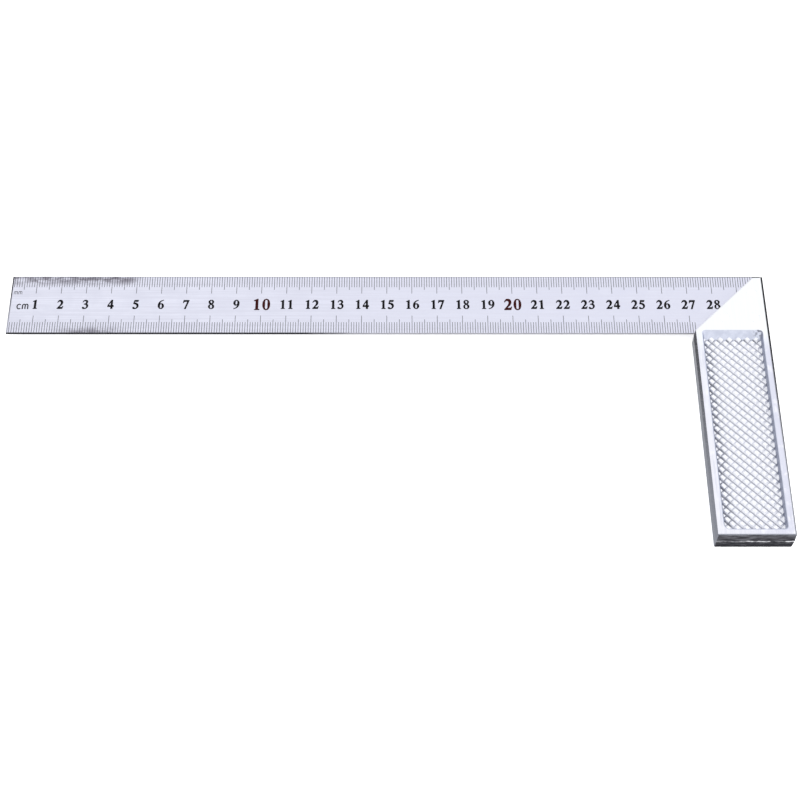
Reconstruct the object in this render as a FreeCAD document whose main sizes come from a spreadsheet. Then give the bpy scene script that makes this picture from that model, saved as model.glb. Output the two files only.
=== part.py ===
import FreeCAD, Part
import math
import os

import Sketcher

# Steel square ruler (a try square with a scale): a flat steel blade, held in the slot
# of a die-cast metal stock by three flush rivets. Millimetres, +Z up, lying flat on
# the back of the stock.
#
# Every piece is drawn about the heel, the outer corner of the square, where the
# blade's outer edge meets the stock's outer face. The blade runs to -X and the stock
# to -Y, and local z = 0 is the middle of the thickness. The placements then bring
# the middle of the object's base to the origin.

DIMENSIONS = (
    # alias, millimetres, what it is
    ("blade_length", 300.0, "scale zero at the free tip to the stock's outer face"),
    ("blade_width", 27.0, "outer edge to inner edge of the blade"),
    ("blade_gauge", 1.0, "thickness of the steel strip"),
    ("square_depth", 118.0, "blade's outer edge to the free end of the stock"),
    ("stock_width", 29.0, "inner face to outer face of the stock"),
    ("stock_thickness", 10.0, "front face to back face of the stock"),
    ("head_setback", 3.0, "head of the stock below the blade's outer edge"),
    ("mitre_shift", 0.8, "45 degree mitre short of the heel, along X"),
    ("edge_radius", 0.6, "rounding of the stock's edges and end corners"),
    ("panel_start", 28.7, "blade's outer edge to the grip panel"),
    ("panel_margin", 2.6, "plain rim along the sides and end of the grip panel"),
    ("panel_depth", 2.2, "rim to floor of the grip panel"),
    ("panel_slope", 0.7, "run of the panel's steep walls"),
    ("panel_head_slope", 2.7, "run of the panel's sloping wall beside the head"),
    ("panel_corner", 1.2, "corner radius of the grip panel"),
    ("rivet_radius", 1.5, "shank of the rivet"),
    ("rivet_flare", 0.5, "45 degree flare of the rivet at each face of the stock"),
    ("rivet_inset_x", 5.2, "stock's outer face to the corner rivet"),
    ("rivet_inset_y", 22.5, "blade's outer edge to the corner rivet"),
    ("rivet_spacing", 12.0, "corner rivet to each of the other two"),
)

# The three rivets stand at the corners of a right angle that follows the mitre.
RIVETS = (
    ("rivet_corner", "-rivet_inset_x", "-rivet_inset_y"),
    ("rivet_inner", "-rivet_inset_x -rivet_spacing", "-rivet_inset_y"),
    ("rivet_outer", "-rivet_inset_x", "-rivet_inset_y +rivet_spacing"),
)

AT_AXIS = ""
X_AXIS_LINE = -1
Y_AXIS_LINE = -2
ROOT_POINT = (-1, 1)
START = 1
END = 2
CENTRE = 3
TOUCHING = 1e-6


def make_sheet(document):
    """Keep the driving dimensions in a spreadsheet, one alias to a row."""
    sheet = document.addObject("Spreadsheet::Sheet", "Sheet")
    for row, (alias, size, meaning) in enumerate(DIMENSIONS, start=1):
        sheet.set(f"A{row}", meaning)
        sheet.set(f"B{row}", str(size))
        sheet.setAlias(f"B{row}", alias)
    document.recompute()
    return sheet


def value_of(sheet, terms):
    """Sum of signed aliases such as "-stock_width +panel_margin", as a number."""
    return sum(float(term[0] + "1") * sheet.get(term[1:]) for term in terms.split())


def expression_of(terms):
    """The same sum as an expression that the document keeps up to date."""
    return "0 " + " ".join(f"{term[0]} Sheet.{term[1:]}" for term in terms.split())


def make_body(document, label, x_terms, y_terms, z_expression):
    """A body whose local origin lies x_terms and y_terms away from the heel."""
    body = document.addObject("PartDesign::Body", label)
    body.Label = label
    heel_x = "Sheet.blade_length / 2"
    heel_y = "Sheet.square_depth / 2"
    body.setExpression("Placement.Base.x", f"{heel_x} + {expression_of(x_terms)}")
    body.setExpression("Placement.Base.y", f"{heel_y} + {expression_of(y_terms)}")
    body.setExpression("Placement.Base.z", z_expression)
    return body


def origin_feature(body, role):
    """One of the body's own origin planes or axes."""
    return next(item for item in body.Origin.OriginFeatures if item.Role == role)


def make_sketch(body, name, role="XY_Plane", height=None):
    """A sketch on one of the body's origin planes, or at a height above it."""
    sketch = body.newObject("Sketcher::SketchObject", name)
    sketch.AttachmentSupport = (origin_feature(body, role), "")
    sketch.MapMode = "FlatFace"
    if height:
        sketch.setExpression("AttachmentOffset.Base.z", height)
    return sketch


def pin_point(sheet, sketch, geometry, point, x_terms, y_terms):
    """Hold a point at its distances from the heel, or on an axis line."""
    places = (("DistanceX", x_terms, Y_AXIS_LINE), ("DistanceY", y_terms, X_AXIS_LINE))
    for kind, terms, axis_line in places:
        if terms == AT_AXIS:
            sketch.addConstraint(
                Sketcher.Constraint("PointOnObject", geometry, point, axis_line))
            continue
        distance = value_of(sheet, terms)
        held = sketch.addConstraint(
            Sketcher.Constraint(kind, *ROOT_POINT, geometry, point, distance))
        sketch.setExpression(f"Constraints[{held}]", expression_of(terms))


def draw_polygon(sheet, sketch, corners):
    """A closed outline with one straight side from each corner to the next."""
    points = [FreeCAD.Vector(value_of(sheet, x), value_of(sheet, y), 0) for x, y in corners]
    for start, end in zip(points, points[1:] + points[:1]):
        sketch.addGeometry(Part.LineSegment(start, end), False)
    for side, (x_terms, y_terms) in enumerate(corners):
        following = (side + 1) % len(points)
        sketch.addConstraint(Sketcher.Constraint("Coincident", side, END, following, START))
        pin_point(sheet, sketch, side, START, x_terms, y_terms)


def draw_circle(sheet, sketch, x_terms, y_terms, radius):
    """A circle pinned by its centre, with its radius taken from an alias."""
    centre = FreeCAD.Vector(value_of(sheet, x_terms), value_of(sheet, y_terms), 0)
    shape = Part.Circle(centre, FreeCAD.Vector(0, 0, 1), sheet.get(radius))
    circle = sketch.addGeometry(shape, False)
    pin_point(sheet, sketch, circle, CENTRE, x_terms, y_terms)
    held = sketch.addConstraint(Sketcher.Constraint("Radius", circle, sheet.get(radius)))
    sketch.setExpression(f"Constraints[{held}]", f"Sheet.{radius}")


def draw_rounded_rectangle(sheet, sketch, left, right, bottom, top, radius):
    """Four sides joined by tangent corner arcs, pinned by the arcs' centres."""
    r = sheet.get(radius)
    quarter = math.pi / 2
    corners = (
        (f"{left} +{radius}", f"{bottom} +{radius}", 2 * quarter),
        (f"{right} -{radius}", f"{bottom} +{radius}", 3 * quarter),
        (f"{right} -{radius}", f"{top} -{radius}", 0.0),
        (f"{left} +{radius}", f"{top} -{radius}", quarter),
    )
    arcs = []
    for x_terms, y_terms, first_angle in corners:
        centre = FreeCAD.Vector(value_of(sheet, x_terms), value_of(sheet, y_terms), 0)
        circle = Part.Circle(centre, FreeCAD.Vector(0, 0, 1), r)
        arc = Part.ArcOfCircle(circle, first_angle, first_angle + quarter)
        arcs.append(sketch.addGeometry(arc, False))
    for index, arc in enumerate(arcs):
        following = arcs[(index + 1) % len(arcs)]
        side = sketch.addGeometry(
            Part.LineSegment(sketch.getPoint(arc, END), sketch.getPoint(following, START)),
            False)
        sketch.addConstraint(Sketcher.Constraint("Tangent", arc, END, side, START))
        sketch.addConstraint(Sketcher.Constraint("Tangent", side, END, following, START))
    for arc, (x_terms, y_terms, first_angle) in zip(arcs, corners):
        pin_point(sheet, sketch, arc, CENTRE, x_terms, y_terms)
    for arc in arcs[1:]:
        sketch.addConstraint(Sketcher.Constraint("Equal", arcs[0], arc))
    held = sketch.addConstraint(Sketcher.Constraint("Radius", arcs[0], r))
    sketch.setExpression(f"Constraints[{held}]", f"Sheet.{radius}")


def add_through_middle(body, kind, name, sketch, thickness):
    """A Pad or Pocket that reaches equally far above and below its sketch."""
    feature = body.newObject(f"PartDesign::{kind}", name)
    feature.Profile = sketch
    feature.SideType = "Symmetric"
    feature.setExpression("Length", thickness)
    sketch.Visibility = False
    return feature


def add_edge_feature(document, body, kind, name, wanted, size_property, size):
    """A Fillet or Chamfer on the edges of the body's tip that wanted() accepts."""
    document.recompute()
    base = body.Tip
    edges = [f"Edge{number}" for number, edge in enumerate(base.Shape.Edges, start=1)
             if wanted(edge)]
    feature = body.newObject(f"PartDesign::{kind}", name)
    feature.Base = (base, edges)
    feature.setExpression(size_property, size)
    return feature


def draw_rivet_holes(sheet, body):
    """One sketch with the three rivet holes, for the blade and for the stock."""
    sketch = make_sketch(body, f"{body.Label}_rivet_holes")
    for name, x_terms, y_terms in RIVETS:
        draw_circle(sheet, sketch, x_terms, y_terms, "rivet_radius")
    return sketch


def make_blade(document, sheet):
    """The scale itself: a plain steel strip with the rivet holes in its fixed end."""
    body = make_body(document, "blade", "", "", "Sheet.stock_thickness / 2")
    outline = make_sketch(body, "blade_outline")
    corners = (
        ("-blade_length", "-blade_width"),
        (AT_AXIS, "-blade_width"),
        (AT_AXIS, AT_AXIS),
        ("-blade_length", AT_AXIS),
    )
    draw_polygon(sheet, outline, corners)
    add_through_middle(body, "Pad", "blade_strip", outline, "Sheet.blade_gauge")
    holes = draw_rivet_holes(sheet, body)
    add_through_middle(body, "Pocket", "blade_holes", holes, "2 * Sheet.blade_gauge")
    return body


def draw_stock_outline(sheet, body):
    """The stock from the front: a bar whose head is cut at 45 degrees, with a flat top."""
    sketch = make_sketch(body, "stock_outline")
    corners = (
        ("-stock_width", "-square_depth"),
        (AT_AXIS, "-square_depth"),
        (AT_AXIS, "-head_setback"),
        ("-mitre_shift -head_setback", "-head_setback"),
        ("-stock_width", "-stock_width +mitre_shift"),
    )
    draw_polygon(sheet, sketch, corners)
    return sketch


def make_grip_panel(document, sheet, body):
    """The sunk grip panel: a loft from its rim down to its floor, on both faces."""
    sides = ("-stock_width +panel_margin", "-panel_margin")
    ends = ("-square_depth +panel_margin", "-panel_start")
    rim = make_sketch(body, "panel_rim", height="Sheet.stock_thickness / 2")
    draw_rounded_rectangle(sheet, rim, *sides, *ends, "panel_corner")
    floor_height = "Sheet.stock_thickness / 2 - Sheet.panel_depth"
    floor = make_sketch(body, "panel_floor", height=floor_height)
    draw_rounded_rectangle(
        sheet, floor,
        f"{sides[0]} +panel_slope", f"{sides[1]} -panel_slope",
        f"{ends[0]} +panel_slope", f"{ends[1]} -panel_head_slope", "panel_corner")
    sunk = body.newObject("PartDesign::SubtractiveLoft", "front_panel")
    sunk.Profile = rim
    sunk.Sections = [floor]
    document.recompute()
    mirrored = body.newObject("PartDesign::Mirrored", "back_panel")
    mirrored.Originals = [sunk]
    mirrored.MirrorPlane = (origin_feature(body, "XY_Plane"), [""])
    body.Tip = mirrored


def make_stock(document, sheet):
    """The die-cast handle, with its blade slot, grip panels and rivet holes."""
    body = make_body(document, "stock", "", "", "Sheet.stock_thickness / 2")
    outline = draw_stock_outline(sheet, body)
    add_through_middle(body, "Pad", "stock_bar", outline, "Sheet.stock_thickness")
    half_thickness = sheet.get("stock_thickness") / 2
    free_end = -sheet.get("square_depth")

    def is_rounded(edge):
        heights = [abs(vertex.Z) for vertex in edge.Vertexes]
        on_a_face = min(heights) > half_thickness - TOUCHING
        along_outline = on_a_face and abs(edge.Vertexes[0].Z - edge.Vertexes[1].Z) < TOUCHING
        end_corner = max(vertex.Y for vertex in edge.Vertexes) < free_end + TOUCHING
        return along_outline or end_corner

    add_edge_feature(document, body, "Fillet", "stock_edges", is_rounded,
                     "Radius", "Sheet.edge_radius")
    slot = make_sketch(body, "slot_outline")
    corners = (
        ("-stock_width -blade_gauge", "-blade_width"),
        ("+blade_gauge", "-blade_width"),
        ("+blade_gauge", "+blade_gauge"),
        ("-stock_width -blade_gauge", "+blade_gauge"),
    )
    draw_polygon(sheet, slot, corners)
    add_through_middle(body, "Pocket", "blade_slot", slot, "Sheet.blade_gauge")
    make_grip_panel(document, sheet, body)
    holes = draw_rivet_holes(sheet, body)
    add_through_middle(body, "Pocket", "stock_holes", holes, "2 * Sheet.stock_thickness")

    def is_hole_mouth(edge):
        on_a_face = abs(edge.Vertexes[0].Z) > half_thickness - TOUCHING
        return on_a_face and edge.isClosed()

    add_edge_feature(document, body, "Chamfer", "hole_flares", is_hole_mouth,
                     "Size", "Sheet.rivet_flare")
    return body


def make_rivet(document, sheet, name, x_terms, y_terms):
    """A solid rivet, swelled into the flared hole and ground flush at both faces."""
    body = make_body(document, name, x_terms, y_terms, "0")
    profile = make_sketch(body, f"{name}_half_section", role="XZ_Plane")
    swelled = "+rivet_radius +rivet_flare"
    corners = (
        (AT_AXIS, AT_AXIS),
        (swelled, AT_AXIS),
        ("+rivet_radius", "+rivet_flare"),
        ("+rivet_radius", "+stock_thickness -rivet_flare"),
        (swelled, "+stock_thickness"),
        (AT_AXIS, "+stock_thickness"),
    )
    draw_polygon(sheet, profile, corners)
    turned = body.newObject("PartDesign::Revolution", f"{name}_turned")
    turned.Profile = profile
    turned.ReferenceAxis = (profile, ["V_Axis"])
    return body


def check_document(document, pieces):
    """Stop if any feature failed, or a piece isn't one closed valid solid."""
    for item in document.Objects:
        if "Invalid" in item.State or "Error" in item.State:
            raise RuntimeError(f"{item.Label} failed: {item.State}")
    for piece in pieces:
        shape = piece.Shape
        if shape.isNull() or not shape.isValid() or len(shape.Solids) != 1:
            raise RuntimeError(f"{piece.Label} is not one valid solid")


def check_cuts(piece):
    """Stop if a cut took nothing away, and print what each feature changed."""
    volume = 0.0
    for feature in piece.Group:
        if not feature.isDerivedFrom("PartDesign::Feature"):
            continue
        change = feature.Shape.Volume - volume
        volume = feature.Shape.Volume
        print(f"  {feature.Label}: {change:+.1f} mm3")
        is_cut = feature.isDerivedFrom("PartDesign::Pocket") or "panel" in feature.Label
        if is_cut and change >= 0:
            raise RuntimeError(f"{feature.Label} cut nothing")


def write_pieces(pieces):
    """One STEP file for each piece, named after its node."""
    os.makedirs("parts", exist_ok=True)
    for piece in pieces:
        print(f"{piece.Label}: {piece.Shape.Volume:.1f} mm3")
        check_cuts(piece)
        piece.Shape.exportStep(f"parts/{piece.Label}.step")


def main():
    document = FreeCAD.newDocument("SquareRuler")
    sheet = make_sheet(document)
    pieces = [make_blade(document, sheet), make_stock(document, sheet)]
    pieces += [make_rivet(document, sheet, *rivet) for rivet in RIVETS]
    document.recompute()
    check_document(document, pieces)
    write_pieces(pieces)


main()
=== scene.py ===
import math

import bmesh
import bpy
from mathutils import Matrix, Vector, noise


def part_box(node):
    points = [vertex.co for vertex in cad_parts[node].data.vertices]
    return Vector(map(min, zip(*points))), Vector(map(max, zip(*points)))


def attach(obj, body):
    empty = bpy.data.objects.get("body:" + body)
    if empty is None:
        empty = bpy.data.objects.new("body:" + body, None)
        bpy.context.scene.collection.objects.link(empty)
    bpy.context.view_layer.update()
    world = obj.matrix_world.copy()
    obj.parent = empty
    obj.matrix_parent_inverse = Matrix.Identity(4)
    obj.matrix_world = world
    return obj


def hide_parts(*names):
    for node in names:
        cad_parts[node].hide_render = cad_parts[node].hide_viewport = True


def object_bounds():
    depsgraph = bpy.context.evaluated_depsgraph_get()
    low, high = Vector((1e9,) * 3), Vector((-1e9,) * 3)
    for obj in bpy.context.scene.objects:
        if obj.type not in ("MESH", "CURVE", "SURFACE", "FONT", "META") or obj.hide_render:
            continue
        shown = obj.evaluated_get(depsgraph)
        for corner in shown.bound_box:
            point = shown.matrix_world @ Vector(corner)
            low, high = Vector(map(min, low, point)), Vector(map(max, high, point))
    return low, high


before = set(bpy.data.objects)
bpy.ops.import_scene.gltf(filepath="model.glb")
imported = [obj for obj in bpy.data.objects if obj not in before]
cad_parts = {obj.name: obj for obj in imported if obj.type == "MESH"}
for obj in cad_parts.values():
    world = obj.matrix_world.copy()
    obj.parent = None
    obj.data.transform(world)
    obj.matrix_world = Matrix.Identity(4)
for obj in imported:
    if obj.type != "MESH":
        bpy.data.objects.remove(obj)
cad_low, cad_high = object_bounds()

# ---------------------------------------------------------------------------
# Places. Everything is drawn in millimetres about the heel, the outer corner of
# the square: the blade runs to -x, the stock to -y, and z = 0 is the middle of
# the thickness.
# ---------------------------------------------------------------------------
MM = 0.001
blade_low, blade_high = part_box("blade")
stock_low, stock_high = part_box("stock")
HEEL = Vector((blade_high.x, blade_high.y, (blade_low.z + blade_high.z) / 2))

BLADE_LENGTH = (blade_high.x - blade_low.x) / MM
BLADE_WIDTH = (blade_high.y - blade_low.y) / MM
BLADE_GAUGE = (blade_high.z - blade_low.z) / MM
STOCK_WIDTH = (stock_high.x - stock_low.x) / MM
STOCK_DEPTH = (blade_high.y - stock_low.y) / MM
STOCK_FACE = (stock_high.z - stock_low.z) / MM / 2
HEAD_SETBACK = (blade_high.y - stock_high.y) / MM

# The 45 degree head: how far short of the heel its slanted edge runs, along x.
MITRE_SHIFT = 0.8
# The casting's corners: rounding at the free end, and at the head.
EDGE_RADIUS = 0.6
SHARP_RADIUS = 0.15
# The share of the edge rounding that the slanted edge of the head takes.
MITRE_ROUNDING = 0.15

# The sunk panel: where it starts below the blade's outer edge, the rim round it,
# how far its walls run in for each millimetre of depth, and its corner radii.
PANEL_START = 28.7
PANEL_MARGIN = 2.6
PANEL_OUTER_MARGIN = 3.0
PANEL_SLOPE = 0.32
PANEL_HEAD_SLOPE = 1.23
PANEL_CORNER = 1.2
PANEL_INNER_CORNER = 2.2
PANEL_LIP = 0.25

# The knurl: distance between grooves, depth of the tips below the stock's face,
# and the (depth, half width) of the grooves of each direction.
KNURL_PITCH = 2.48
KNURL_TIP = 1.75
STRONG_GROOVE = (0.85, 0.62)
WEAK_GROOVE = (0.60, 0.50)

ROOT_TWO = math.sqrt(2)

# Which of the casting's materials a face takes; the outside is 0.
KNURL = 1
WALL = 2


def object_from(bm, name):
    """Turn a bmesh drawn in heel millimetres into an object in the frame's metres."""
    bm.transform(Matrix.Translation(HEEL) @ Matrix.Scale(MM, 4))
    mesh = bpy.data.meshes.new(name)
    bm.to_mesh(mesh)
    bm.free()
    piece = bpy.data.objects.new(name, mesh)
    bpy.context.scene.collection.objects.link(piece)
    return piece


def remove(piece):
    """Delete a helper object that isn't part of the model."""
    bpy.data.objects.remove(piece)


def cut_away(target, cutters):
    """Take the cutters out of the target, and delete them."""
    group = bpy.data.collections.new("cutters")
    for cutter in cutters:
        group.objects.link(cutter)
    cut = target.modifiers.new("cut", "BOOLEAN")
    cut.operation = "DIFFERENCE"
    cut.solver = "EXACT"
    cut.operand_type = "COLLECTION"
    cut.collection = group
    bpy.context.view_layer.update()
    depsgraph = bpy.context.evaluated_depsgraph_get()
    mesh = bpy.data.meshes.new_from_object(target.evaluated_get(depsgraph))
    target.modifiers.clear()
    target.data = mesh
    mesh.name = target.name
    for cutter in cutters:
        remove(cutter)
    bpy.data.collections.remove(group)


# ---------------------------------------------------------------------------
# Outlines and lofts
# ---------------------------------------------------------------------------
def inset_corners(corners, insets):
    """The corners of an anticlockwise polygon with each side moved inwards.

    Side number i runs from corner i to the next one, and insets[i] moves it.
    """
    moved = []
    for index, corner in enumerate(corners):
        before = (corner - corners[index - 1]).normalized()
        after = (corners[(index + 1) % len(corners)] - corner).normalized()
        first = Vector((-before.y, before.x))
        second = Vector((-after.y, after.x))
        lean = first.dot(second)
        shift = (first * (insets[index - 1] - lean * insets[index])
                 + second * (insets[index] - lean * insets[index - 1]))
        moved.append(corner + shift / (1 - lean * lean))
    return moved


def rounded_loop(corners, radii, insets, arc_steps, side_steps):
    """Points and outward normals round a polygon with rounded corners."""
    smallest = 0.05
    ring = []
    inner = inset_corners(corners, insets)
    arcs = []
    for index, corner in enumerate(inner):
        bend = max(radii[index] - max(insets), smallest)
        to_before = (inner[index - 1] - corner).normalized()
        to_after = (inner[(index + 1) % len(inner)] - corner).normalized()
        half = to_before.angle(to_after) / 2
        centre = corner + (to_before + to_after).normalized() * bend / math.sin(half)
        first = corner + to_before * bend / math.tan(half) - centre
        sweep = math.pi - 2 * half
        arc = []
        for step in range(arc_steps + 1):
            turned = Matrix.Rotation(sweep * step / arc_steps, 2) @ first
            arc.append((centre + turned, turned.normalized()))
        arcs.append(arc)
    for index, arc in enumerate(arcs):
        ring += arc
        start, normal = arc[-1]
        end = arcs[(index + 1) % len(arcs)][0][0]
        steps = side_steps[index]
        for step in range(1, steps):
            ring.append((start.lerp(end, step / steps), normal))
    return ring


def steps_along(corners, spacing):
    """How many steps of about the given spacing each side of a polygon takes."""
    following = corners[1:] + corners[:1]
    return [max(2, round((b - a).length / spacing)) for a, b in zip(corners, following)]


def loft(bm, rings):
    """A closed solid through rings of points, lowest ring first."""
    rows = [[bm.verts.new(point) for point in ring] for ring in rings]
    for lower, upper in zip(rows, rows[1:]):
        for index in range(len(lower)):
            after = (index + 1) % len(lower)
            bm.faces.new((lower[index], lower[after], upper[after], upper[index]))
    bm.faces.new(list(reversed(rows[0])))
    bm.faces.new(rows[-1])


def lifted(ring, z):
    """The points of a flat ring at a height."""
    return [Vector((point.x, point.y, z)) for point, normal in ring]


# ---------------------------------------------------------------------------
# Stock: a die casting with a ground front and back, rough cast sides, a parting
# line round the middle and a sunk knurled panel on each face
# ---------------------------------------------------------------------------
STOCK_CORNERS = [
    Vector((-STOCK_WIDTH, -STOCK_DEPTH)),
    Vector((0, -STOCK_DEPTH)),
    Vector((0, -HEAD_SETBACK)),
    Vector((-MITRE_SHIFT - HEAD_SETBACK, -HEAD_SETBACK)),
    Vector((-STOCK_WIDTH, MITRE_SHIFT - STOCK_WIDTH)),
]
CORNER_RADII = [EDGE_RADIUS, EDGE_RADIUS, SHARP_RADIUS, SHARP_RADIUS, SHARP_RADIUS]
SIDE_SPACING = 0.5


def side_profile():
    """(inset, height) pairs up the stock's side: rounding, draft, parting ridge."""
    rounding = []
    rounding_steps = 4
    for step in range(rounding_steps + 1):
        angle = math.radians(90 * step / rounding_steps)
        rounding.append((EDGE_RADIUS * (1 - math.sin(angle)),
                         EDGE_RADIUS * (1 - math.cos(angle)) - STOCK_FACE))
    draft = 0.07
    ridge_height = 0.13
    ridge_half_width = 0.34
    ridge_top_share = 0.35
    wall_rows = 7
    wall = []
    for step in range(1, wall_rows + 1):
        share = step / wall_rows
        height = EDGE_RADIUS - STOCK_FACE + share * (STOCK_FACE - EDGE_RADIUS - ridge_half_width)
        wall.append((-draft * share, height))
    ridge = [(-draft - ridge_height, -ridge_half_width * ridge_top_share)]
    lower = rounding + wall + ridge
    return lower + [(inset, -height) for inset, height in reversed(lower)]


def cast_skin(point, normal, height):
    """How far the rough cast side stands out at a point, in millimetres."""
    side_roughness = 0.012
    end_roughness = 0.055
    broad_scale = 0.55
    fine_scale = 1.7
    ridge_reach = 0.5
    ridge_worn = -0.05
    ridge_ragged = 0.09
    ridge_on_sides = 0.35
    free_end = max(0.0, -normal.y) ** 4
    strength = side_roughness + end_roughness * free_end
    away_from_edge = min(1.0, max(0.0, (STOCK_FACE - abs(height)) / EDGE_RADIUS))
    place = Vector((point.x, point.y, height))
    broad = noise.noise(place * broad_scale)
    fine = noise.noise(place * fine_scale + Vector((9, 4, 2)))
    near_ridge = max(0.0, 1 - abs(height) / ridge_reach)
    ragged = noise.noise(Vector((point.x * 0.9, point.y * 0.9, 5.0)))
    ridge = near_ridge * (ridge_worn + ridge_ragged * ragged) * (ridge_on_sides + free_end)
    return away_from_edge * (strength * (broad + fine)) + ridge


def make_stock_bar():
    """The casting without its panels, slot and rivet holes."""
    side_steps = steps_along(STOCK_CORNERS, SIDE_SPACING)
    rings = []
    for inset, height in side_profile():
        insets = [inset] * (len(STOCK_CORNERS) - 1) + [inset * MITRE_ROUNDING]
        ring = rounded_loop(STOCK_CORNERS, CORNER_RADII, insets,
                            arc_steps=4, side_steps=side_steps)
        points = []
        for point, normal in ring:
            moved = point + normal * cast_skin(point, normal, height)
            points.append(Vector((moved.x, moved.y, height)))
        rings.append(points)
    bm = bmesh.new()
    loft(bm, rings)
    return object_from(bm, "stock_casting")


def groove_depth(distance, groove):
    """Depth of a V groove at a distance from its middle."""
    depth, half_width = groove
    return depth * max(0.0, 1 - distance / half_width)


def knurl_drop(u, v):
    """How far the knurl's surface lies below the stock's face, in millimetres."""
    strong = groove_depth(abs((u / KNURL_PITCH + 0.5) % 1 - 0.5) * KNURL_PITCH, STRONG_GROOVE)
    weak = groove_depth(abs((v / KNURL_PITCH + 0.5) % 1 - 0.5) * KNURL_PITCH, WEAK_GROOVE)
    groove = max(strong, weak)
    cell = Vector((math.floor(u / KNURL_PITCH), math.floor(v / KNURL_PITCH), 3.0))
    uneven = 0.10 * noise.noise(cell * 0.37) + 0.05 * noise.noise(cell * 3.1)
    worn = 0.07 * noise.noise(Vector((u * 0.9, v * 0.9, 7.0)))
    raised = 1 - groove / STRONG_GROOVE[0]
    return KNURL_TIP + groove + raised * (uneven + worn)


def make_knurl_block():
    """A block whose upper surface is the crossed-groove knurl of the front panel."""
    over = 0.5
    bottom_z = 0.8
    low_x = PANEL_MARGIN - STOCK_WIDTH - over
    high_x = -PANEL_OUTER_MARGIN + over
    low_y = PANEL_MARGIN - STOCK_DEPTH - over
    high_y = -PANEL_START + over
    per_pitch = 8
    spacing = KNURL_PITCH / per_pitch
    bm = bmesh.new()
    verts = {}

    def grid_vertex(i, j):
        if (i, j) not in verts:
            u = i * spacing
            v = j * spacing
            height = STOCK_FACE - knurl_drop(u, v)
            verts[i, j] = bm.verts.new(((u + v) / ROOT_TWO, (u - v) / ROOT_TWO, height))
        return verts[i, j]

    first_u = math.floor((low_x + low_y) / ROOT_TWO / spacing) - 1
    last_u = math.ceil((high_x + high_y) / ROOT_TWO / spacing) + 1
    first_v = math.floor((low_x - high_y) / ROOT_TWO / spacing) - 1
    last_v = math.ceil((high_x - low_y) / ROOT_TWO / spacing) + 1
    reach = 2 * spacing
    for i in range(first_u, last_u):
        for j in range(first_v, last_v):
            x = (i + j + 1) * spacing / ROOT_TWO
            y = (i - j) * spacing / ROOT_TWO
            if low_x - reach < x < high_x + reach and low_y - reach < y < high_y + reach:
                bm.faces.new((grid_vertex(i, j), grid_vertex(i, j + 1),
                              grid_vertex(i + 1, j + 1), grid_vertex(i + 1, j)))
    for point, outward in (((low_x, 0, 0), (-1, 0, 0)), ((high_x, 0, 0), (1, 0, 0)),
                           ((0, low_y, 0), (0, -1, 0)), ((0, high_y, 0), (0, 1, 0))):
        geometry = bm.verts[:] + bm.edges[:] + bm.faces[:]
        bmesh.ops.bisect_plane(bm, geom=geometry, plane_co=point, plane_no=outward,
                               clear_outer=True)
    rim = [edge for edge in bm.edges if edge.is_boundary]
    grown = bmesh.ops.extrude_edge_only(bm, edges=rim)["geom"]
    for element in grown:
        if isinstance(element, bmesh.types.BMVert):
            element.co.z = bottom_z
    bottom = [edge for edge in bm.edges if edge.is_boundary]
    bmesh.ops.contextual_create(bm, geom=bottom)
    bmesh.ops.triangulate(bm, faces=bm.faces[:])
    bmesh.ops.recalc_face_normals(bm, faces=bm.faces[:])
    for face in bm.faces:
        face.material_index = KNURL
    return object_from(bm, "knurl_block")


def panel_ring(depth, outset):
    """The panel's outline at a depth below the stock's face."""
    side = PANEL_SLOPE * depth - outset
    head = PANEL_HEAD_SLOPE * depth - outset
    left = PANEL_MARGIN - STOCK_WIDTH + side
    right = -PANEL_OUTER_MARGIN - side
    low = PANEL_MARGIN - STOCK_DEPTH + side
    high = -PANEL_START - head
    corners = [Vector((left, low)), Vector((right, low)),
               Vector((right, high)), Vector((left, high))]
    radii = [PANEL_INNER_CORNER + outset] + [PANEL_CORNER + outset] * 3
    ring = rounded_loop(corners, radii, [0] * 4, arc_steps=5, side_steps=[2] * 4)
    return lifted(ring, STOCK_FACE - depth)


def make_panel_cutter():
    """What the mould leaves empty over the front panel: sloping walls, knurled floor."""
    deepest = 3.2
    halfway = 1.6
    lip_steps = 3
    rings = [panel_ring(depth, 0) for depth in (deepest, halfway, PANEL_LIP)]
    for step in range(1, lip_steps + 1):
        angle = math.radians(90 * step / lip_steps)
        rings.append(panel_ring(PANEL_LIP * (1 - math.sin(angle)),
                                PANEL_LIP * (1 - math.cos(angle))))
    above_face = -1.0
    rings.append(panel_ring(above_face, PANEL_LIP))
    bm = bmesh.new()
    loft(bm, rings)
    for face in bm.faces:
        face.material_index = WALL
    cutter = object_from(bm, "panel_cutter")
    cut_away(cutter, [make_knurl_block()])
    return cutter


def mirrored_to_back(piece):
    """A copy of a cutter on the other face of the stock."""
    copy = bpy.data.objects.new("back_" + piece.name, piece.data.copy())
    bpy.context.scene.collection.objects.link(copy)
    bm = bmesh.new()
    bm.from_mesh(copy.data)
    flip = Matrix.Translation((0, 0, HEEL.z)) @ Matrix.Scale(-1, 4, (0, 0, 1))
    bm.transform(flip @ Matrix.Translation((0, 0, -HEEL.z)))
    bmesh.ops.reverse_faces(bm, faces=bm.faces[:])
    bm.to_mesh(copy.data)
    bm.free()
    return copy


def make_slot_cutter():
    """The slot that takes the blade, with a hair of clearance at each face."""
    clearance = 0.02
    past = 1
    half = BLADE_GAUGE / 2 + clearance
    low = -BLADE_WIDTH - clearance
    outline = [Vector((-STOCK_WIDTH - past, low)), Vector((past, low)),
               Vector((past, past)), Vector((-STOCK_WIDTH - past, past))]
    bm = bmesh.new()
    loft(bm, [[Vector((c.x, c.y, z)) for c in outline] for z in (-half, half)])
    return object_from(bm, "slot_cutter")


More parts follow.
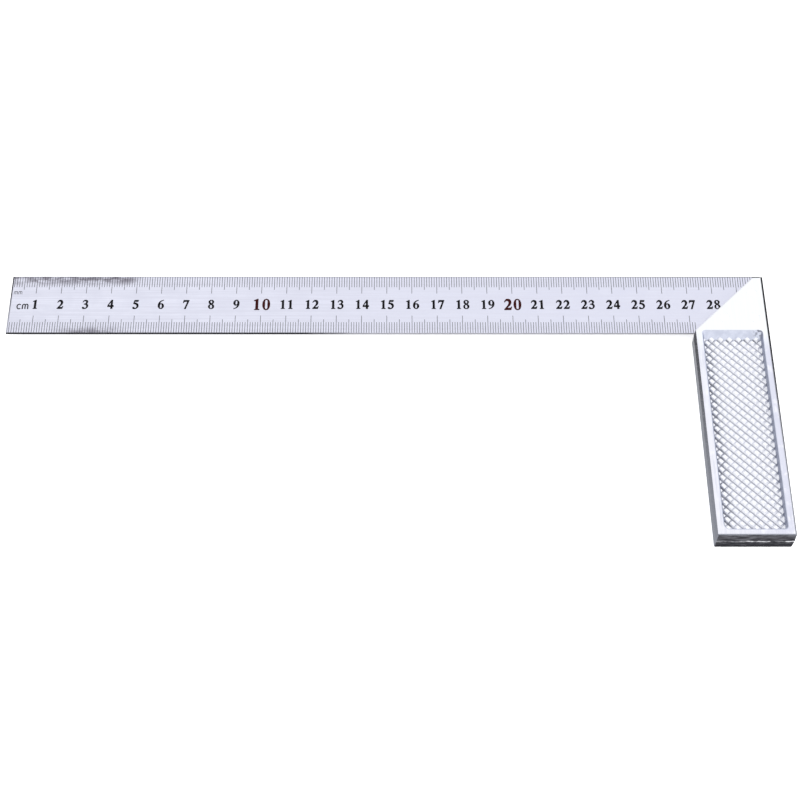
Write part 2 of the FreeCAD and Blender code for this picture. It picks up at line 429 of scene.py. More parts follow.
def make_rivet_cutter(node):
    """A flared hole round one rivet, with a hair of clearance."""
    clearance = 0.012
    low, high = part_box(node)
    centre = ((low + high) / 2 - HEEL) / MM
    swelled = (high.x - low.x) / MM / 2 + clearance
    flare = 0.5
    overshoot = 0.1
    past_face = STOCK_FACE + overshoot
    profile = ((swelled, -past_face), (swelled, -STOCK_FACE),
               (swelled - flare, flare - STOCK_FACE), (swelled - flare, STOCK_FACE - flare),
               (swelled, STOCK_FACE), (swelled, past_face))
    sides = 48
    rings = []
    for radius, z in profile:
        turns = [math.tau * side / sides for side in range(sides)]
        rings.append([Vector((centre.x + radius * math.cos(a), centre.y + radius * math.sin(a), z))
                      for a in turns])
    bm = bmesh.new()
    loft(bm, rings)
    return object_from(bm, node + "_cutter")


def sharpen(piece, limit_degrees):
    """Smooth shading, with creases at sharp edges and round the ground faces."""
    limit = math.radians(limit_degrees)
    flat = 0.99999
    rounding_allowance = 0.9999
    ground = STOCK_FACE * MM * rounding_allowance
    bm = bmesh.new()
    bm.from_mesh(piece.data)
    for face in bm.faces:
        face.smooth = True
    for edge in bm.edges:
        if len(edge.link_faces) != 2:
            continue
        one, other = edge.link_faces
        flat_to_round = (abs(one.normal.z) > flat) != (abs(other.normal.z) > flat)
        on_face = all(abs(vert.co.z - HEEL.z) > ground for vert in edge.verts)
        same_finish = one.material_index == other.material_index
        gentle = one.normal.angle(other.normal, 0) < limit
        edge.smooth = gentle and same_finish and not (flat_to_round and on_face)
    bm.to_mesh(piece.data)
    bm.free()


RIVETS = ("rivet_corner", "rivet_inner", "rivet_outer")


def make_stock():
    """The whole casting as one closed mesh."""
    stock = make_stock_bar()
    front = make_panel_cutter()
    cutters = [front, mirrored_to_back(front), make_slot_cutter()]
    cutters += [make_rivet_cutter(node) for node in RIVETS]
    cut_away(stock, cutters)
    sharpen(stock, 30)
    return stock


# ---------------------------------------------------------------------------
# Scale: ink lines and figures that stand a hair proud of both blade faces
# ---------------------------------------------------------------------------
INK_PROUD = 0.02
INK_SUNK = 0.03
LINE_WIDTH = 0.2
LINE_GAP = 0.1
# (every so many millimetres, line length), longest first.
LINE_LENGTHS = ((10, 8.2), (5, 6.4), (1, 5.1))
LAST_FIGURE = 28
# (height of an em, baseline's y) of the plain figures and of the larger tens.
FIGURE_SIZE = (6.0, -15.5)
TENS_SIZE = (7.5, -16.0)
FIGURE_OFFSET = 0.15
# (text, distance from the tip, baseline's y, x-height, stroke width)
UNIT_LABELS = (("cm", 2.95, -15.7, 2.4, 0.46), ("mm", 1.1, -8.6, 1.45, 0.2))


def tick_length(millimetre):
    """Lines run further in at every fifth and tenth millimetre."""
    return next(length for every, length in LINE_LENGTHS if millimetre % every == 0)


def add_box(bm, low, high):
    """An axis-aligned box between two corners."""
    middle = [(a + b) / 2 for a, b in zip(low, high)]
    size = [b - a for a, b in zip(low, high)]
    place = Matrix.Translation(middle) @ Matrix.Diagonal((*size, 1))
    bmesh.ops.create_cube(bm, size=1, matrix=place)


def ink_heights(side):
    """Lowest and highest z of the ink on the front (1) or back (-1) of the blade."""
    levels = (side * (BLADE_GAUGE / 2 - INK_SUNK), side * (BLADE_GAUGE / 2 + INK_PROUD))
    return min(levels), max(levels)


def make_lines(side):
    """The millimetre lines along both long edges of one blade face."""
    low_z, high_z = ink_heights(side)
    bm = bmesh.new()
    for millimetre in range(1, round(BLADE_LENGTH)):
        x = millimetre - BLADE_LENGTH
        length = tick_length(millimetre)
        mitre_y = x + MITRE_SHIFT
        outer_end = max(-length, min(-HEAD_SETBACK, mitre_y))
        half = LINE_WIDTH / 2
        add_box(bm, (x - half, outer_end, low_z), (x + half, -LINE_GAP, high_z))
        if mitre_y < -BLADE_WIDTH:
            inner_end = length - BLADE_WIDTH
            add_box(bm, (x - half, LINE_GAP - BLADE_WIDTH, low_z), (x + half, inner_end, high_z))
    return bm


# The figures are drawn in thousandths of an em. A contour is a list of points:
# "s" passes smoothly through the point, "c" turns a corner there.
DIGITS = {
    "0": (((250, 688, "s"), (24, 338, "s"), (250, -13, "s"), (476, 338, "s")),
          ((250, 652, "s"), (163, 338, "s"), (250, 24, "s"), (337, 338, "s"))),
    "1": (((110, 0, "c"), (405, 0, "c"), (405, 18, "c"), (345, 35, "c"), (325, 80, "c"),
           (325, 688, "c"), (300, 688, "c"), (85, 590, "c"), (85, 565, "c"), (155, 575, "c"),
           (185, 550, "c"), (185, 80, "c"), (165, 35, "c"), (110, 18, "c")),),
    "2": (((20, 0, "c"), (420, 0, "c"), (478, 185, "c"), (450, 190, "c"), (415, 128, "s"),
           (350, 112, "c"), (150, 112, "c"), (295, 225, "s"), (405, 350, "s"), (445, 500, "s"),
           (385, 635, "s"), (260, 688, "s"), (110, 640, "s"), (28, 500, "c"), (55, 488, "c"),
           (105, 555, "s"), (185, 580, "s"), (270, 545, "s"), (300, 450, "s"), (262, 325, "s"),
           (165, 190, "s"), (20, 30, "c")),),
    "3": (((35, 525, "c"), (110, 640, "s"), (240, 688, "s"), (375, 645, "s"), (425, 540, "s"),
           (395, 455, "s"), (320, 400, "c"), (420, 330, "s"), (455, 222, "s"), (415, 105, "s"),
           (310, 15, "s"), (160, -14, "s"), (45, 15, "s"), (18, 75, "s"), (48, 125, "s"),
           (100, 128, "s"), (150, 85, "s"), (225, 45, "s"), (310, 90, "s"), (338, 190, "s"),
           (300, 290, "s"), (210, 335, "s"), (130, 345, "c"), (130, 372, "c"), (225, 400, "s"),
           (285, 450, "s"), (300, 520, "s"), (270, 585, "s"), (200, 612, "s"), (120, 585, "s"),
           (62, 512, "c")),),
    "4": (((300, 688, "c"), (400, 688, "c"), (400, 260, "c"), (478, 260, "c"), (478, 155, "c"),
           (400, 155, "c"), (400, 0, "c"), (270, 0, "c"), (270, 155, "c"), (25, 155, "c"),
           (25, 245, "c")),
          ((270, 260, "c"), (270, 545, "c"), (85, 260, "c"))),
    "5": (((140, 676, "c"), (455, 676, "c"), (412, 560, "c"), (168, 560, "c"), (150, 482, "c"),
           (300, 448, "s"), (420, 360, "s"), (458, 235, "s"), (405, 90, "s"), (285, 5, "s"),
           (140, -14, "s"), (45, 12, "s"), (18, 70, "s"), (45, 118, "s"), (98, 122, "s"),
           (150, 82, "s"), (215, 45, "s"), (300, 80, "s"), (336, 185, "s"), (290, 300, "s"),
           (180, 365, "s"), (62, 385, "c")),),
    "6": (((440, 688, "c"), (240, 620, "s"), (85, 470, "s"), (28, 280, "s"), (75, 90, "s"),
           (250, -13, "s"), (420, 70, "s"), (475, 215, "s"), (430, 350, "s"), (315, 412, "s"),
           (172, 385, "c"), (215, 520, "s"), (310, 610, "s"), (444, 664, "c")),
          ((250, 368, "s"), (165, 210, "s"), (255, 22, "s"), (337, 205, "s"))),
    "7": (((58, 676, "c"), (478, 676, "c"), (478, 650, "c"), (235, -14, "c"), (130, -14, "c"),
           (345, 555, "c"), (165, 555, "s"), (95, 530, "s"), (45, 460, "c"), (22, 470, "c")),),
    "8": (((250, 688, "s"), (105, 642, "s"), (50, 525, "s"), (85, 425, "s"), (160, 350, "s"),
           (75, 280, "s"), (28, 165, "s"), (95, 40, "s"), (250, -13, "s"), (400, 42, "s"),
           (470, 175, "s"), (430, 290, "s"), (345, 378, "s"), (410, 440, "s"), (445, 535, "s"),
           (395, 642, "s")),
          ((250, 655, "s"), (170, 590, "s"), (180, 500, "s"), (285, 425, "s"), (330, 540, "s")),
          ((215, 322, "s"), (145, 200, "s"), (160, 75, "s"), (250, 20, "s"), (342, 140, "s"))),
}
DIGITS["9"] = tuple(tuple((500 - x, 675 - y, kind) for x, y, kind in contour)
                    for contour in DIGITS["6"])
EM = 1000
# The share of an em from one figure to the next, how narrow each is drawn, and how
# far its outline is grown, in thousandths of an em.
ADVANCE = 0.5
NARROWER = 0.86
BOLDER = 20


def digit_mesh(character):
    """A flat figure one em tall, as a mesh with a unit of thickness about z = 0."""
    curve = bpy.data.curves.new("figure_" + character, "CURVE")
    curve.dimensions = "2D"
    curve.fill_mode = "BOTH"
    curve.resolution_u = 4
    curve.extrude = 0.5
    curve.offset = BOLDER / EM
    for contour in DIGITS[character]:
        spline = curve.splines.new("BEZIER")
        spline.bezier_points.add(len(contour) - 1)
        spline.use_cyclic_u = True
        for point, (x, y, kind) in zip(spline.bezier_points, contour):
            point.co = (x / EM, y / EM, 0)
            handle = "AUTO" if kind == "s" else "VECTOR"
            point.handle_left_type = handle
            point.handle_right_type = handle
    helper = bpy.data.objects.new(curve.name, curve)
    bpy.context.scene.collection.objects.link(helper)
    bpy.context.view_layer.update()
    depsgraph = bpy.context.evaluated_depsgraph_get()
    mesh = bpy.data.meshes.new_from_object(helper.evaluated_get(depsgraph))
    remove(helper)
    return mesh


DIGIT_MESHES = {character: digit_mesh(character) for character in DIGITS}


def add_figures(bm, text, x, baseline, em):
    """Figures centred on x, one em high, standing on a baseline."""
    first = x - (len(text) - 1 + NARROWER) * ADVANCE * em / 2
    thickness = INK_PROUD + INK_SUNK
    z = BLADE_GAUGE / 2 + (INK_PROUD - INK_SUNK) / 2
    for index, character in enumerate(text):
        start = len(bm.verts)
        bm.from_mesh(DIGIT_MESHES[character])
        bm.verts.ensure_lookup_table()
        place = (Matrix.Translation((first + index * ADVANCE * em, baseline, z))
                 @ Matrix.Diagonal((em * NARROWER, em, thickness, 1)))
        bmesh.ops.transform(bm, matrix=place, verts=bm.verts[start:])


def turn_to_back(bm):
    """Turn drawing on the front face over, about the blade's long middle line."""
    middle = Vector((0, -BLADE_WIDTH / 2, 0))
    bm.transform(Matrix.Translation(middle) @ Matrix.Rotation(math.pi, 4, "X")
                 @ Matrix.Translation(-middle))


def weld(bm):
    """Join the seams that a filled curve leaves between its faces and its sides."""
    bmesh.ops.remove_doubles(bm, verts=bm.verts[:], dist=0.0005)
    bmesh.ops.recalc_face_normals(bm, faces=bm.faces[:])


def make_figures(side, is_ten):
    """The centimetre figures of one face: tens are larger and in the second ink."""
    em, baseline = TENS_SIZE if is_ten else FIGURE_SIZE
    bm = bmesh.new()
    for centimetre in range(1, LAST_FIGURE + 1):
        if (centimetre % 10 == 0) == is_ten:
            x = centimetre * 10 - BLADE_LENGTH + FIGURE_OFFSET
            add_figures(bm, str(centimetre), x, baseline, em)
    weld(bm)
    if side < 0:
        turn_to_back(bm)
    return bm


def stroke_outline(path, width):
    """The outline of a line of even width along a path of points."""
    left = []
    right = []
    for index, point in enumerate(path):
        before = path[max(index - 1, 0)]
        after = path[min(index + 1, len(path) - 1)]
        along = (after - before).normalized()
        across = Vector((-along.y, along.x)) * width / 2
        left.append(point + across)
        right.append(point - across)
    return left + right[::-1]


def arc_path(centre, radius_x, radius_y, first, last, steps=14):
    """Points along part of an ellipse, with angles in degrees."""
    angles = [math.radians(first + (last - first) * step / steps) for step in range(steps + 1)]
    return [Vector((centre[0] + radius_x * math.cos(a), centre[1] + radius_y * math.sin(a)))
            for a in angles]


def letter_strokes(letter):
    """Strokes of the plain letters c and m, with an x-height of one."""
    if letter == "c":
        return [arc_path((0.4, 0.5), 0.34, 0.46, 48, 312, 20)]
    first_arch = [Vector((0.1, 0))] + arc_path((0.32, 0.66), 0.22, 0.30, 180, 0)
    second_arch = arc_path((0.76, 0.66), 0.22, 0.30, 180, 0)
    return [first_arch + [Vector((0.54, 0))], second_arch + [Vector((0.98, 0))]]


def add_label(bm, text, x, baseline, x_height, width):
    """A small unit label in plain strokes, starting at x."""
    low_z, high_z = ink_heights(1)
    advances = {"c": 0.86, "m": 1.24}
    pen = x
    for letter in text:
        for stroke in letter_strokes(letter):
            placed_path = [Vector((pen, baseline)) + point * x_height for point in stroke]
            outline = stroke_outline(placed_path, width)
            lower = [bm.verts.new((p.x, p.y, low_z)) for p in outline]
            upper = [bm.verts.new((p.x, p.y, high_z)) for p in outline]
            count = len(stroke)
            for index in range(count - 1):
                far = 2 * count - 1 - index
                bm.faces.new((upper[index], upper[index + 1], upper[far - 1], upper[far]))
                bm.faces.new((lower[far], lower[far - 1], lower[index + 1], lower[index]))
            for index in range(2 * count):
                after = (index + 1) % (2 * count)
                bm.faces.new((lower[index], lower[after], upper[after], upper[index]))
        pen += advances[letter] * x_height


def make_labels(side):
    """The generic unit labels beside the zero of the scale."""
    bm = bmesh.new()
    for text, from_tip, baseline, x_height, width in UNIT_LABELS:
        add_label(bm, text, from_tip - BLADE_LENGTH, baseline, x_height, width)
    bmesh.ops.recalc_face_normals(bm, faces=bm.faces[:])
    if side < 0:
        turn_to_back(bm)
    return bm


# ---------------------------------------------------------------------------
# Materials
# ---------------------------------------------------------------------------
class Shading:
    """A node material with its shader, and short ways to add the usual nodes."""

    def __init__(self, name):
        self.material = bpy.data.materials.new(name)
        self.material.use_nodes = True
        self.nodes = self.material.node_tree.nodes
        self.links = self.material.node_tree.links
        self.shader = self.nodes["Principled BSDF"]

    def set(self, **values):
        """Set the shader's own sockets, with underscores for spaces."""
        for name, value in values.items():
            self.shader.inputs[name.replace("_", " ")].default_value = value

    def link(self, output, name):
        """Feed one of the shader's sockets."""
        self.links.new(output, self.shader.inputs[name])

    def place(self, stretch=(1, 1, 1)):
        """Position in millimetres about the heel, squeezed along each axis."""
        source = self.nodes.new("ShaderNodeTexCoord")
        mapping = self.nodes.new("ShaderNodeMapping")
        mapping.inputs["Location"].default_value = [
            -h / MM * k for h, k in zip(HEEL, stretch)]
        mapping.inputs["Scale"].default_value = [k / MM for k in stretch]
        self.links.new(source.outputs["Object"], mapping.inputs["Vector"])
        return mapping.outputs["Vector"]

    def axis(self, vector, name):
        """One coordinate of a vector."""
        split = self.nodes.new("ShaderNodeSeparateXYZ")
        self.links.new(vector, split.inputs[0])
        return split.outputs[name]

    def normal_axis(self, name):
        """One coordinate of the surface's normal, with its sign."""
        geometry = self.nodes.new("ShaderNodeNewGeometry")
        return self.axis(geometry.outputs["Normal"], name)

    def noise(self, vector, scale, detail=3.0, roughness=0.5):
        """Noise from 0 to 1 with features of about 1 / scale millimetres."""
        node = self.nodes.new("ShaderNodeTexNoise")
        node.inputs["Scale"].default_value = scale
        node.inputs["Detail"].default_value = detail
        node.inputs["Roughness"].default_value = roughness
        self.links.new(vector, node.inputs["Vector"])
        return node.outputs["Fac"]

    def math(self, operation, first, second=0.0):
        """A maths node on sockets or plain numbers."""
        node = self.nodes.new("ShaderNodeMath")
        node.operation = operation
        for socket, value in zip(node.inputs, (first, second)):
            if isinstance(value, (int, float)):
                socket.default_value = value
            else:
                self.links.new(value, socket)
        return node.outputs[0]

    def remap(self, value, low, high, to_low=0.0, to_high=1.0):
        """A smooth step from one range to another."""
        node = self.nodes.new("ShaderNodeMapRange")
        node.interpolation_type = "SMOOTHSTEP"
        self.links.new(value, node.inputs["Value"])
        for name, number in (("From Min", low), ("From Max", high),
                             ("To Min", to_low), ("To Max", to_high)):
            node.inputs[name].default_value = number
        return node.outputs["Result"]

    def mix(self, factor, first, second):
        """A blend of two colours, each a socket or a triple."""
        node = self.nodes.new("ShaderNodeMix")
        node.data_type = "RGBA"
        self.links.new(factor, node.inputs["Factor"])
        for socket, value in ((node.inputs[6], first), (node.inputs[7], second)):
            if isinstance(value, tuple):
                socket.default_value = (*value, 1)
            else:
                self.links.new(value, socket)
        return node.outputs[2]

    def bump(self, height, strength, distance, below=None):
        """A bump of a height in millimetres, over another bump if one is given."""
        node = self.nodes.new("ShaderNodeBump")
        node.inputs["Strength"].default_value = strength
        node.inputs["Distance"].default_value = distance * MM
        self.links.new(height, node.inputs["Height"])
        if below:
            self.links.new(below, node.inputs["Normal"])
        return node.outputs["Normal"]


def blade_steel():
    """Satin steel strip, brushed along its length, with smudges near the free tip."""
    m = Shading("blade_satin_steel")
    place = m.place()
    brushed = m.noise(m.place((0.03, 2.2, 1)), 1.0, 4)
    cloudy = m.noise(place, 0.11, 3, 0.6)
    along = m.axis(place, "X")
    across = m.axis(place, "Y")
    # Painted shade: the strip is drawn darker from the tip towards the stock.
    plain = m.mix(m.remap(along, -290, -40), (0.80, 0.81, 0.91), (0.69, 0.70, 0.81))
    face = m.mix(m.remap(cloudy, 0.35, 0.7), plain, (0.73, 0.74, 0.84))
    face = m.mix(m.remap(brushed, 0.3, 0.75), face, (0.70, 0.705, 0.80))
    outer = m.math("MULTIPLY", m.remap(along, -255, -246, 1, 0), m.remap(across, -5.2, -1.2))
    inner = m.math("MULTIPLY", m.remap(along, -262, -250, 1, 0), m.remap(across, -23.0, -26.5))
    inner = m.math("MULTIPLY", m.math("MULTIPLY", inner, m.remap(along, -285, -270)), 0.8)
    blotches = m.noise(m.place((0.35, 0.8, 1)), 0.5, 5, 0.65)
    smudge_and_shade = m.math("MULTIPLY", m.math("MAXIMUM", outer, inner), m.remap(blotches, 0.36, 0.62))
    face = m.mix(smudge_and_shade, face, (0.25, 0.235, 0.28))
    # Dark lines: along the tip, the outer edge, and the inner edge as far as half way; the lines
    # along the outer and inner edge are painted shade.
    upright = m.math("ABSOLUTE", m.normal_axis("Z"))
    tip_line = m.math("MULTIPLY", m.remap(along, -299.25, -299.7), m.remap(across, -26, -4, 0.45, 1))
    edge_line = m.math("MULTIPLY", m.remap(across, -0.40, -0.16), m.remap(along, -80, -20, 0.6, 1))
    wavering = m.math("ADD", along, m.math("MULTIPLY", m.noise(place, 0.2, 3), 30))
    past_half = m.remap(wavering, -175, -135)
    inner_line = m.math("MULTIPLY", m.remap(across, -26.7, -26.9),
                        m.math("SUBTRACT", 1, past_half))
    lines = m.math("MAXIMUM", m.math("MAXIMUM", tip_line, edge_line), inner_line)
    face = m.mix(lines, face, (0.03, 0.03, 0.035))
    is_face = m.remap(upright, 0.3, 0.8)
    # Painted shade: the strip's thin edge faces are drawn near black towards the tip and grey
    # beyond.
    edge = m.mix(past_half, (0.03, 0.03, 0.035), (0.50, 0.50, 0.54))
    m.link(m.mix(is_face, edge, face), "Base Color")
    m.link(m.math("ADD", m.math("MULTIPLY", is_face, 0.6), 0.4), "Metallic")
    m.link(m.remap(m.math("ADD", brushed, m.math("MULTIPLY", cloudy, 0.5)), 0.5, 1.1,
                   0.34, 0.46), "Roughness")
    m.link(m.bump(brushed, 0.25, 0.01), "Normal")
    return m.material


def cast_outside():
    """Outside of the casting: ground bright on the faces, grey and rough on the sides, with a
    painted highlight on the head and painted shade on the sides and end.
    """
    m = Shading("cast_alloy_outside")
    place = m.place()
    upright = m.math("ABSOLUTE", m.normal_axis("Z"))
    is_face = m.remap(upright, 0.985, 0.9999)
    across = m.axis(place, "X")
    down = m.axis(place, "Y")
    height = m.axis(place, "Z")
    ground_lines = m.noise(m.place((1.2, 0.05, 1)), 1.5, 4)
    pits = m.noise(place, 1.6, 4, 0.6)
    patches = m.noise(place, 0.22, 3, 0.6)
    # The ground faces: a head made bright with a painted highlight, and a rim with paler patches and
    # fine lines.
    head = m.mix(m.remap(ground_lines, 0.3, 0.75), (0.91, 0.928, 0.94), (0.885, 0.905, 0.925))
    # Painted shade: the rim is drawn darker towards the outer edge.
    rim = m.mix(m.remap(across, -27, -3), (0.82, 0.825, 0.88), (0.72, 0.73, 0.83))
    rim = m.mix(m.remap(patches, 0.48, 0.66), rim, (0.88, 0.885, 0.94))
    rim = m.mix(m.remap(ground_lines, 0.45, 0.75), rim, (0.68, 0.69, 0.79))
    ground = m.mix(m.remap(down, -40, -27), rim, head)
    near_head = m.remap(down, -110, -25)
    # Painted shade: a dark line along the head's top edge and the upper part of the outer edge.
    outer_line = m.math("MULTIPLY", m.remap(across, -1.05, -0.75), near_head)
    head_line = m.remap(down, -HEAD_SETBACK - 0.75, -HEAD_SETBACK - 0.5)
    edge_shade = m.math("MULTIPLY", m.math("MAXIMUM", outer_line, head_line), m.remap(upright, 0.05, 0.3))
    # The cast sides: painted light and shade make the half nearer each face differ, split by a
    # ragged line: the front half darkens towards the head and the rear half lightens.
    ragged = m.math("ADD", height, m.math("MULTIPLY", m.math("SUBTRACT", patches, 0.5), 1.6))
    front = m.mix(near_head, (0.27, 0.285, 0.33), (0.07, 0.072, 0.085))
    rear = m.mix(near_head, (0.32, 0.335, 0.38), (0.42, 0.43, 0.46))
    side = m.mix(m.remap(ragged, -0.5, 0.5), rear, front)
    side = m.mix(m.remap(pits, 0.5, 0.75), side, (0.42, 0.42, 0.44))
    # Painted shade: the outer side is drawn darker towards the head.
    outer = m.mix(near_head, (0.27, 0.275, 0.30), (0.06, 0.06, 0.068))
    side = m.mix(m.remap(m.normal_axis("X"), 0.05, 0.3), side, outer)
    # The free end: streaked, and dark with painted shade, with a broken parting line made bright
    # with painted glints.
    rough_end = m.remap(m.normal_axis("Y"), -0.9, -0.5, 1, 0)
    streaks = m.noise(m.place((0.25, 1, 1.3)), 0.9, 4, 0.65)
    streaks = m.math("ADD", streaks, m.math("MULTIPLY", height, 0.02))
    end = m.mix(m.remap(streaks, 0.42, 0.68), (0.028, 0.028, 0.035), (0.16, 0.16, 0.18))
    near_parting = m.remap(m.math("ABSOLUTE", ragged), 0.50, 0.2)
    glint = m.math("MULTIPLY", near_parting, m.remap(m.noise(m.place((0.3, 1, 1)), 1, 3), 0.4, 0.55))
    # Painted highlight: the colour of the glints on the parting line.
    glint_color = m.mix(m.remap(streaks, 0.44, 0.58), (0.32, 0.32, 0.34), (0.92, 0.92, 0.94))
    end = m.mix(glint, end, glint_color)
    side = m.mix(rough_end, side, end)
    # The small rounding of the head's slanted edge gets the same painted highlight as the head.
    slanted = m.math("MULTIPLY", m.normal_axis("X"), m.normal_axis("Y"))
    facing_blade = m.math("MULTIPLY", m.remap(slanted, -0.004, -0.02),
                          m.remap(m.normal_axis("Y"), 0.02, 0.06))
    mitre_edge = m.math("MULTIPLY", facing_blade, m.remap(upright, 0.25, 0.5))
    side = m.mix(mitre_edge, side, (0.88, 0.885, 0.92))
    m.link(m.mix(edge_shade, m.mix(is_face, side, ground), (0.015, 0.015, 0.018)), "Base Color")
    m.link(m.math("ADD", m.math("MULTIPLY", is_face, 0.7), 0.3), "Metallic")
    m.link(m.remap(is_face, 0, 1, 0.55, 0.32), "Roughness")
    coarse = m.bump(pits, 0.35, 0.12)
    m.link(m.bump(ground_lines, 0.15, 0.01, coarse), "Normal")
    return m.material


def cast_knurl():
    """The knurl as cast: bright tips, grooves greyed with painted shade, and painted shade along two
    walls.
    """
    m = Shading("cast_alloy_knurl")
    m.set(Metallic=1.0)
    place = m.place()
    depth = m.math("SUBTRACT", STOCK_FACE, m.math("ABSOLUTE", m.axis(place, "Z")))
    grain = m.noise(place, 2.4, 4, 0.6)
    bright = m.mix(m.remap(grain, 0.35, 0.7), (0.96, 0.965, 0.985), (0.90, 0.91, 0.955))
    # Painted shade: the deeper the knurl lies, the greyer it is drawn.
    groove_shade = (0.52, 0.53, 0.59)
    color = m.mix(m.remap(depth, KNURL_TIP + 0.3, KNURL_TIP + 0.85), bright, groove_shade)
    # Painted shade in the deeper knurl along the inner wall and the head wall, in blotches.
    by_inner_wall = m.remap(m.axis(place, "X"), -20.5, -25.0)
    by_head_wall = m.remap(m.axis(place, "Y"), -34.5, -31.8)
    wall_shade = m.math("MULTIPLY", m.math("MAXIMUM", by_inner_wall, by_head_wall),
                   m.remap(depth, KNURL_TIP + 0.2, KNURL_TIP + 0.5))
    blotches = m.noise(place, 0.5, 3, 0.6)
    wall_shade = m.math("MULTIPLY", wall_shade, m.remap(blotches, 0.4, 0.6, 0.3, 0.9))
    m.link(m.mix(wall_shade, color, (0.30, 0.31, 0.36)), "Base Color")
    m.link(m.remap(grain, 0.3, 0.7, 0.40, 0.52), "Roughness")
    m.link(m.bump(grain, 0.3, 0.05), "Normal")
    return m.material


def cast_wall():
    """Walls of the sunk panel: smooth, with painted shade where steep and in one corner."""
    m = Shading("cast_alloy_wall")
    m.set(Metallic=1.0)
    place = m.place()
    clouds = m.noise(place, 0.35, 4, 0.6)
    grain = m.noise(place, 2.0, 4, 0.6)
    color = m.mix(m.remap(clouds, 0.35, 0.7), (0.69, 0.72, 0.82), (0.58, 0.61, 0.71))
    # Painted shade in the corner by the head wall and the outer wall, in blotches.
    corner = m.math("MULTIPLY", m.remap(m.axis(place, "X"), -7.5, -4.0),
                    m.remap(m.axis(place, "Y"), -33, -30.2))
    smudge_and_shade = m.math("MULTIPLY", corner, m.remap(m.noise(place, 0.8, 2), 0.4, 0.6))
    color = m.mix(smudge_and_shade, color, (0.22, 0.23, 0.28))
    # Painted shade: the steep walls are drawn darker.
    steep = m.remap(m.math("ABSOLUTE", m.normal_axis("X")), 0.45, 0.85)
    color = m.mix(steep, color, m.mix(grain, (0.30, 0.32, 0.40), (0.44, 0.46, 0.54)))
    m.link(color, "Base Color")
    m.link(m.remap(grain, 0.3, 0.7, 0.36, 0.50), "Roughness")
    m.link(m.bump(grain, 0.3, 0.05), "Normal")
    return m.material


def rivet_metal():
    """Rivet ends, ground with the faces of the stock."""
    m = Shading("rivet_ground_metal")
    m.set(Metallic=1.0, Roughness=0.3)
    grain = m.noise(m.place((1.2, 0.05, 1)), 1.5, 4)
    m.link(m.mix(grain, (0.96, 0.965, 0.975), (0.86, 0.865, 0.90)), "Base Color")
    m.link(m.bump(grain, 0.15, 0.01), "Normal")
    return m.material


def ink(name, dark, worn):
    """Matt scale ink, a little worn in patches."""
    m = Shading(name)
    m.set(Roughness=0.6, Specular_IOR_Level=0.08)
    wear = m.remap(m.noise(m.place(), 1.3, 4, 0.65), 0.5, 0.8)
    m.link(m.mix(wear, dark, worn), "Base Color")
    return m.material


def paint(piece, *materials):
    """Give a piece its materials, slot by slot, and keep what its faces point to."""
    slots = piece.data.materials
    for index, material in enumerate(materials):
        if index < len(slots):
            slots[index] = material
        else:
            slots.append(material)


# ---------------------------------------------------------------------------
# Building the model
# ---------------------------------------------------------------------------
def finish_piece(piece, slot, *materials):
    """Paint a new piece and let it ride on the rigid square."""
    paint(piece, *materials)
    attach(piece, "root")


def build_scale():
    """The printed scale on both faces of the blade."""
    black = ink("scale_black_ink", (0.004, 0.004, 0.005), (0.02, 0.02, 0.022))
    red = ink("scale_red_ink", (0.040, 0.005, 0.005), (0.08, 0.015, 0.012))
    grey = ink("scale_line_ink", (0.07, 0.07, 0.08), (0.18, 0.18, 0.20))
    for side, face in ((1, "front"), (-1, "back")):
        finish_piece(object_from(make_lines(side), "scale_lines_" + face), "scale_ink", grey)
        finish_piece(object_from(make_figures(side, False), "scale_figures_" + face),
                     "scale_ink", black)
        finish_piece(object_from(make_figures(side, True), "scale_tens_" + face),
                     "scale_ink_red", red)
        finish_piece(object_from(make_labels(side), "scale_units_" + face), "scale_ink", black)


def build_model():
    """Finish the blade and rivets, and put the detailed casting in the stock's place."""
    paint(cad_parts["blade"], blade_steel())
    rivet = rivet_metal()
    for node in RIVETS:
        paint(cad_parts[node], rivet)
    stock = make_stock()
    finish_piece(stock, "cast_alloy", cast_outside(), cast_knurl(), cast_wall())
    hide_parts("stock")
    build_scale()


# ---------------------------------------------------------------------------
# Floor, light and camera
# ---------------------------------------------------------------------------
def add_floor():
    """A plain pale floor, seen by the camera and by matt surfaces."""
    size = 12.0
    bm = bmesh.new()
    bmesh.ops.create_grid(bm, x_segments=1, y_segments=1, size=size)
    mesh = bpy.data.meshes.new("floor")
    bm.to_mesh(mesh)
    bm.free()
    floor = bpy.data.objects.new("floor", mesh)
    bpy.context.scene.collection.objects.link(floor)
    m = Shading("floor_white")
    m.set(Base_Color=(0.93, 0.93, 0.93, 1), Roughness=1.0,
          Emission_Color=(1, 1, 1, 1), Emission_Strength=0.7)
    floor.data.materials.append(m.material)
    floor.visible_glossy = False


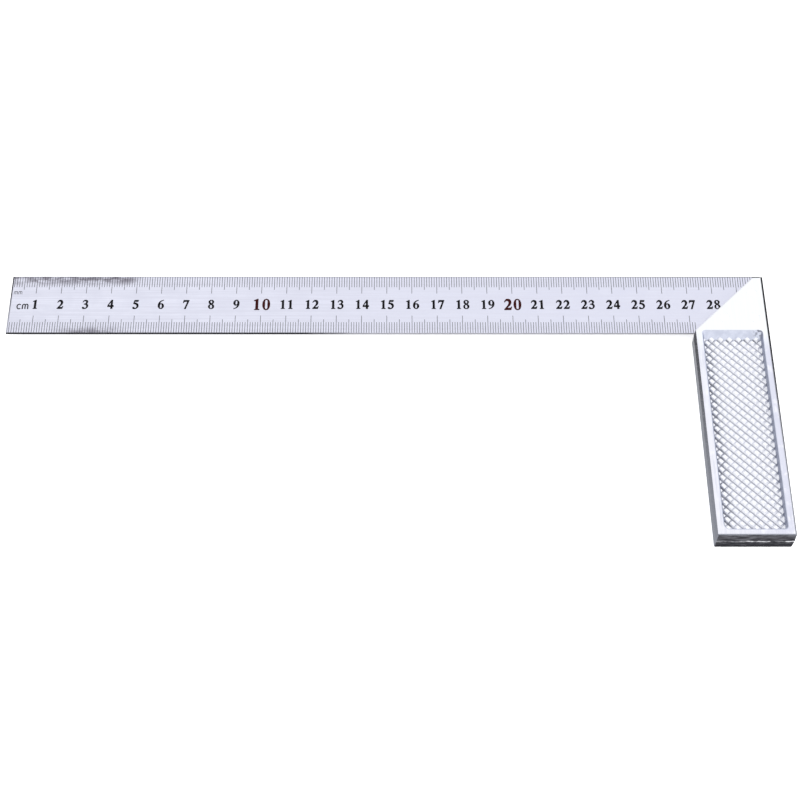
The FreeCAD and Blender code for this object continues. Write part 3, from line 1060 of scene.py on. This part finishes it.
def add_sky():
    """Soft studio light, a little stronger from +x, and dark below the horizon."""
    world = bpy.data.worlds.new("studio")
    world.use_nodes = True
    nodes = world.node_tree.nodes
    links = world.node_tree.links
    background = nodes["Background"]
    source = nodes.new("ShaderNodeTexCoord")
    split = nodes.new("ShaderNodeSeparateXYZ")
    ramp = nodes.new("ShaderNodeValToRGB")
    remap = nodes.new("ShaderNodeMapRange")
    remap.inputs["From Min"].default_value = -1
    links.new(source.outputs["Generated"], split.inputs[0])
    links.new(split.outputs["Z"], remap.inputs["Value"])
    links.new(remap.outputs["Result"], ramp.inputs["Fac"])
    stops = ((0.0, (0.10, 0.10, 0.11)), (0.48, (0.16, 0.16, 0.18)), (0.52, (0.80, 0.81, 0.84)),
             (0.75, (0.95, 0.96, 1.0)), (1.0, (1.0, 1.0, 1.0)))
    while len(ramp.color_ramp.elements) < len(stops):
        ramp.color_ramp.elements.new(0.5)
    for element, (position, color) in zip(ramp.color_ramp.elements, stops):
        element.position = position
        element.color = (*color, 1)
    sideways = nodes.new("ShaderNodeMapRange")
    for name, number in (("From Min", -1), ("To Min", 0.90), ("To Max", 1.30)):
        sideways.inputs[name].default_value = number
    links.new(split.outputs["X"], sideways.inputs["Value"])
    links.new(ramp.outputs["Color"], background.inputs["Color"])
    links.new(sideways.outputs["Result"], background.inputs["Strength"])
    bpy.context.scene.world = world


def add_softbox(name, location, size, power):
    """A large soft area light that faces the frame's origin."""
    light = bpy.data.lights.new(name, "AREA")
    light.shape = "RECTANGLE"
    light.size = size[0]
    light.size_y = size[1]
    light.energy = power
    lamp = bpy.data.objects.new(name, light)
    lamp.location = location
    lamp.rotation_euler = (-Vector(location)).to_track_quat("-Z", "Y").to_euler()
    bpy.context.scene.collection.objects.link(lamp)


def add_camera():
    """Looking down at the square's front face from the -y side."""
    middle = (cad_low + cad_high) / 2
    away = Vector((0.00186, -0.33547, 0.56258))
    tilt = 30.921
    yaw = -0.287
    camera = bpy.data.objects.new("camera", bpy.data.cameras.new("camera"))
    camera.data.lens = 76.64
    camera.data.sensor_width = 36
    camera.matrix_world = (Matrix.Translation(middle + away)
                           @ Matrix.Rotation(math.radians(tilt), 4, "X")
                           @ Matrix.Rotation(math.radians(yaw), 4, "Y"))
    bpy.context.scene.collection.objects.link(camera)
    bpy.context.scene.camera = camera


build_model()
add_floor()
add_sky()
add_softbox("softbox_front", (-0.5, -0.9, 0.7), (0.8, 0.6), 0.8)
add_camera()
bpy.context.scene.view_settings.view_transform = "Standard"
